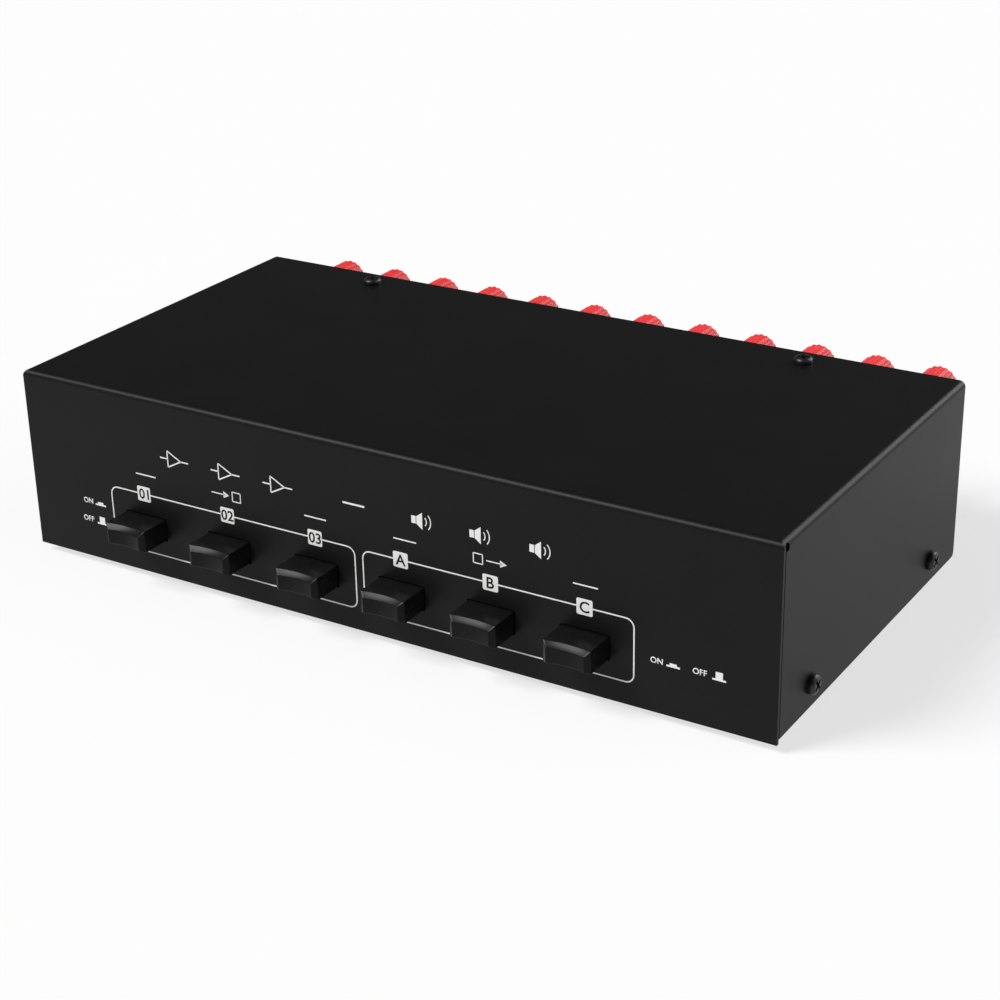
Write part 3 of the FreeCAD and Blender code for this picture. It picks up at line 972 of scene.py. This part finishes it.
class SELECTOR_OT_stage(Operator):
    """Set the floor, the lights and the camera"""

    bl_idname = "selector.stage"
    bl_label = "Stage"

    def execute(self, context):
        scene = context.scene
        stage = scene.selector_stage
        add_floor(stage)
        add_lights(scene)
        add_camera(scene, stage)
        scene.view_settings.view_transform = "Standard"
        return {"FINISHED"}


def add_floor(stage):
    """A round pale floor, wide enough to be the background of every view from well above it."""
    form = bmesh.new()
    bmesh.ops.create_circle(form, cap_ends=True, segments=96, radius=stage.floor_radius)
    floor = bpy.data.objects.new("pale_floor", mesh_of("pale_floor", form))
    bpy.context.scene.collection.objects.link(floor)
    floor.data.materials.append(matt_paper(stage))


def matt_paper(stage):
    """Matt background paper: even, pale and without gloss.

    Where it is seen, and not where it only lights the object, a share of it is plain white. That
    softens the shadow.
    """
    low = tuple(stage.floor)
    material = finish(
        "matt_paper", low, low, grain=2 * MM, mottle=300 * MM, rough=(0.95, 1.0),
        depth=0.01 * MM, **{"Specular IOR Level": 0.0},
    )
    tree = material.node_tree
    lit = next(node for node in tree.nodes if node.type == "BSDF_PRINCIPLED").outputs["BSDF"]
    output = next(node for node in tree.nodes if node.type == "OUTPUT_MATERIAL")
    rays = add_node(tree, "ShaderNodeLightPath").outputs
    seen = rays["Is Camera Ray"]
    for kind in ("Is Glossy Ray", "Is Transmission Ray"):
        seen = add_node(
            tree, "ShaderNodeMath", links={0: seen, 1: rays[kind]}, operation="MAXIMUM"
        ).outputs[0]
    share = add_node(
        tree, "ShaderNodeMath", {1: stage.paper_glow}, {0: seen}, operation="MULTIPLY"
    ).outputs[0]
    white = add_node(tree, "ShaderNodeEmission", {"Strength": 1.0}).outputs["Emission"]
    mixed = add_node(tree, "ShaderNodeMixShader", links={0: share, 1: lit, 2: white}).outputs[0]
    tree.links.new(mixed, output.inputs["Surface"])
    return material


# Each light's name, its direction from the object, its strength, its spread in degrees, and
# whether matt surfaces catch it.
LIGHTS = (
    ("key_upper_left", (-0.47, -0.50, 0.73), 3.4, 25, True),
    ("fill_right", (0.8, 0.2, 0.55), 0.5, 60, True),
    ("rim_rear_right", (0.42, 0.78, 0.47), 2.3, 40, False),
)
SURROUND_STRENGTH = 0.1


def add_lights(scene):
    """A broad key from the upper left front, a fill, a rim light for the bends and a dim surround."""
    for name, direction, energy, spread, matt in LIGHTS:
        light = bpy.data.lights.new(name, "SUN")
        light.energy = energy
        light.angle = math.radians(spread)
        lamp = bpy.data.objects.new(name, light)
        lamp.rotation_euler = Vector(direction).to_track_quat("Z", "Y").to_euler()
        lamp.visible_diffuse = matt
        scene.collection.objects.link(lamp)
    world = bpy.data.worlds.new("dim_surround")
    world.use_nodes = True
    background = world.node_tree.nodes["Background"]
    background.inputs["Color"].default_value = (1, 1, 1, 1)
    background.inputs["Strength"].default_value = SURROUND_STRENGTH
    scene.world = world


def add_camera(scene, stage):
    """The camera of the photograph's view."""
    azimuth, elevation = stage.azimuth, stage.elevation
    back = Vector((math.sin(azimuth) * math.cos(elevation), -math.cos(azimuth) * math.cos(elevation),
                   math.sin(elevation)))
    right = (-back).cross(Vector((0, 0, 1))).normalized()
    up = back.cross(right)
    axes = Matrix((right, up, back)).transposed().to_4x4()
    lens = bpy.data.cameras.new("camera")
    lens.sensor_width = SENSOR_WIDTH
    lens.lens = stage.lens
    camera = bpy.data.objects.new("camera", lens)
    scene.collection.objects.link(camera)
    camera.matrix_world = Matrix.Translation(CAMERA_PLACE) @ axes @ Matrix.Rotation(stage.roll, 4, "Z")
    scene.camera = camera


class SELECTOR_PT_panel(Panel):
    """The selector switch's sizes, colours and steps"""

    bl_idname = "SELECTOR_PT_panel"
    bl_label = "Selector switch"
    bl_space_type = "VIEW_3D"
    bl_region_type = "UI"
    bl_category = "Selector"

    def draw(self, context):
        for group in GROUPS:
            column = self.layout.column(align=True)
            settings = getattr(context.scene, group)
            for name in GROUPS[group].__annotations__:
                column.prop(settings, name)
        for step in STEPS:
            self.layout.operator(step.bl_idname)


GROUPS = {
    "selector_finish": SelectorFinish,
    "selector_print": SelectorPrint,
    "selector_buttons": SelectorButtons,
    "selector_posts": SelectorPosts,
    "selector_stage": SelectorStage,
}
STEPS = (
    SELECTOR_OT_case,
    SELECTOR_OT_screws,
    SELECTOR_OT_feet,
    SELECTOR_OT_buttons,
    SELECTOR_OT_print,
    SELECTOR_OT_posts,
    SELECTOR_OT_inside,
    SELECTOR_OT_stage,
)


def register():
    for group in GROUPS.values():
        bpy.utils.register_class(group)
    for name, group in GROUPS.items():
        setattr(bpy.types.Scene, name, PointerProperty(type=group))
    for step in STEPS:
        bpy.utils.register_class(step)
    bpy.utils.register_class(SELECTOR_PT_panel)


def unregister():
    bpy.utils.unregister_class(SELECTOR_PT_panel)
    for step in reversed(STEPS):
        bpy.utils.unregister_class(step)
    for name, group in reversed(list(GROUPS.items())):
        delattr(bpy.types.Scene, name)
        bpy.utils.unregister_class(group)


def main():
    """Register the add-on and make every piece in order."""
    register()
    for step in STEPS:
        area, operator = step.bl_idname.split(".")
        getattr(getattr(bpy.ops, area), operator)()


if __name__ == "__main__":
    main()
